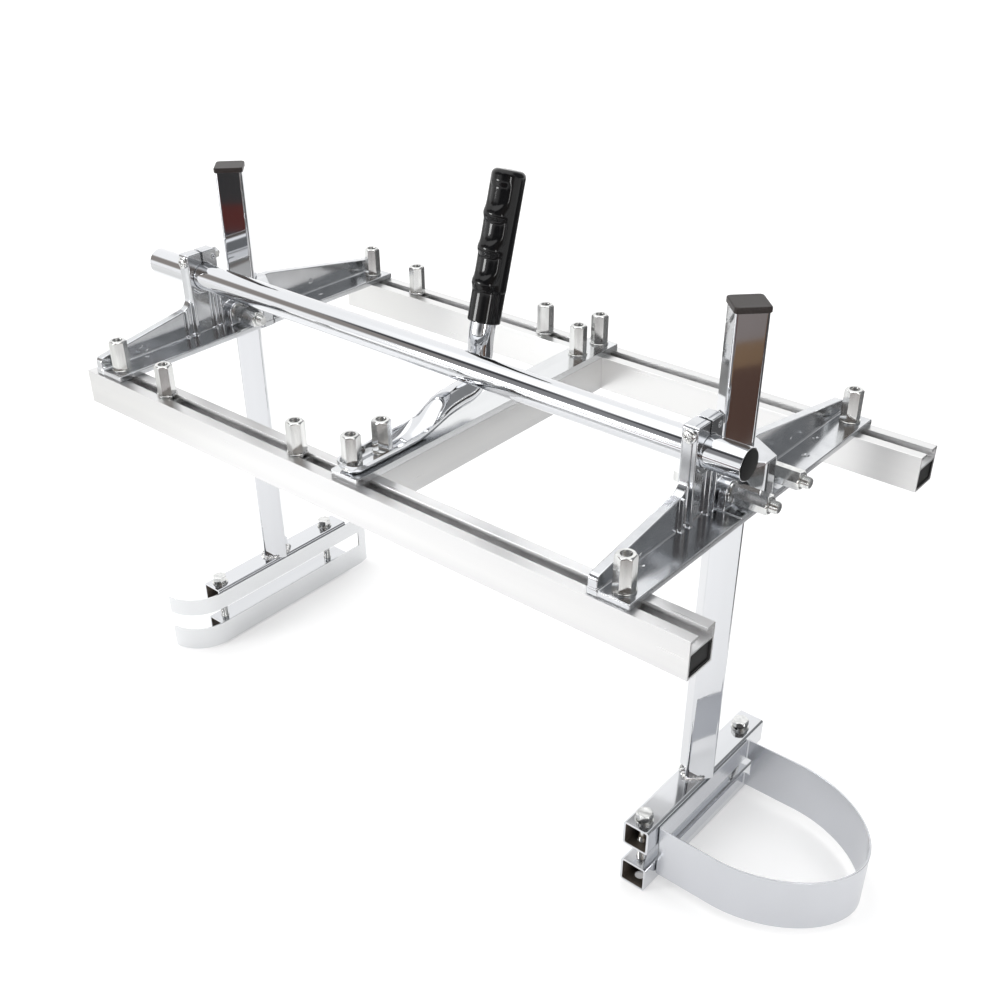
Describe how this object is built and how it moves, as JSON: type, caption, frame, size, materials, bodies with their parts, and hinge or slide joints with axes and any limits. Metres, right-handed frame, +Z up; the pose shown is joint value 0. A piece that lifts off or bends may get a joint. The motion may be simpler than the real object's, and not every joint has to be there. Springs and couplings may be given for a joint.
{
  "type": "chainsaw mill",
  "caption": "Chainsaw mill: slotted rails with cast end brackets, push tube and handle, height posts, bar clamps, nose guard and skid plate.",
  "frame": {"origin": "under the middle of the bounding box, at the level of the lower jaws' undersides", "axes": "+X along the rails towards the nose guard, +Y across from the push tube side to the rear rail, +Z up"},
  "size_m": [0.7918, 0.359, 0.5562],
  "materials": {
    "rail": "satin extruded",
    "cast": "polished casting",
    "chrome": "bright plated",
    "zinc": "zinc plated",
    "sheet": "satin sheet",
    "black": "matte",
    "gloss": "glossy",
    "cap": "matte"
  },
  "bodies": {
    "frame": {"front_rail": "rail", "rear_rail": "rail", "front_rail_plug_left": "black", "front_rail_plug_right": "black", "rear_rail_plug_left": "black", "rear_rail_plug_right": "black", "push_tube": "chrome", "push_tube_plug_left": "black", "push_tube_plug_right": "black", "left_bracket": "cast", "left_pinch_screw": "zinc", "left_pinch_nut": "zinc", "left_post_clamp": "cast", "left_clamp_stud_front": "zinc", "left_clamp_stud_rear": "zinc", "left_clamp_nut_front": "zinc", "left_clamp_nut_rear": "zinc", "left_slot_nut_front": "zinc", "left_slot_nut_rear": "zinc"},
    "right_end": {"right_bracket": "cast", "right_pinch_screw": "zinc", "right_pinch_nut": "zinc", "right_post_clamp": "cast", "right_clamp_stud_front": "zinc", "right_clamp_stud_rear": "zinc", "right_clamp_nut_front": "zinc", "right_clamp_nut_rear": "zinc", "right_slot_nut_front": "zinc", "right_slot_nut_rear": "zinc"},
    "cross_tie": {"cross_beam": "rail", "cross_plate": "cast", "plate_nut_1": "zinc", "plate_nut_2": "zinc", "plate_nut_3": "zinc", "plate_nut_4": "zinc", "handle_tube": "chrome", "handle_grip": "gloss"},
    "left_post_assembly": {"left_post": "chrome", "left_post_cap": "cap", "left_upper_jaw": "chrome", "left_jaw_bolt_front": "zinc", "left_jaw_bolt_rear": "zinc", "skid_plate": "sheet"},
    "right_post_assembly": {"right_post": "chrome", "right_post_cap": "cap", "right_upper_jaw": "chrome", "right_jaw_bolt_front": "zinc", "right_jaw_bolt_rear": "zinc", "nose_guard": "sheet"},
    "left_jaw_assembly": {"left_lower_jaw": "chrome", "left_jaw_nut_front": "zinc", "left_jaw_nut_rear": "zinc"},
    "right_jaw_assembly": {"right_lower_jaw": "chrome", "right_jaw_nut_front": "zinc", "right_jaw_nut_rear": "zinc"},
    "free_nut_front_left": {"free_nut_front_left": "zinc"},
    "free_nut_front_right": {"free_nut_front_right": "zinc"},
    "free_nut_rear_left": {"free_nut_rear_left": "zinc"},
    "free_nut_rear_right": {"free_nut_rear_right": "zinc"}
  },
  "joints": [
    {"name": "right_end_along_rails", "type": "slide", "parent": "frame", "child": "right_end", "axis": [1, 0, 0], "range_m": [-0.1, 0.03]},
    {"name": "cross_tie_along_rails", "type": "slide", "parent": "frame", "child": "cross_tie", "axis": [1, 0, 0], "range_m": [-0.02, 0.09]},
    {"name": "left_post_height", "type": "slide", "parent": "frame", "child": "left_post_assembly", "axis": [0, 0, 1], "range_m": [-0.1, 0.26]},
    {"name": "right_post_height", "type": "slide", "parent": "right_end", "child": "right_post_assembly", "axis": [0, 0, 1], "range_m": [-0.1, 0.26]},
    {"name": "left_jaw_gap", "type": "slide", "parent": "left_post_assembly", "child": "left_jaw_assembly", "axis": [0, 0, 1], "range_m": [-0.003, 0.015]},
    {"name": "right_jaw_gap", "type": "slide", "parent": "right_post_assembly", "child": "right_jaw_assembly", "axis": [0, 0, 1], "range_m": [-0.003, 0.015]},
    {"name": "free_nut_front_left_along_slot", "type": "slide", "parent": "frame", "child": "free_nut_front_left", "axis": [1, 0, 0], "range_m": [-0.04, 0.06]},
    {"name": "free_nut_front_right_along_slot", "type": "slide", "parent": "frame", "child": "free_nut_front_right", "axis": [1, 0, 0], "range_m": [-0.06, 0.015]},
    {"name": "free_nut_rear_left_along_slot", "type": "slide", "parent": "frame", "child": "free_nut_rear_left", "axis": [1, 0, 0], "range_m": [-0.04, 0.06]},
    {"name": "free_nut_rear_right_along_slot", "type": "slide", "parent": "frame", "child": "free_nut_rear_right", "axis": [1, 0, 0], "range_m": [-0.06, 0.015]}
  ]
}
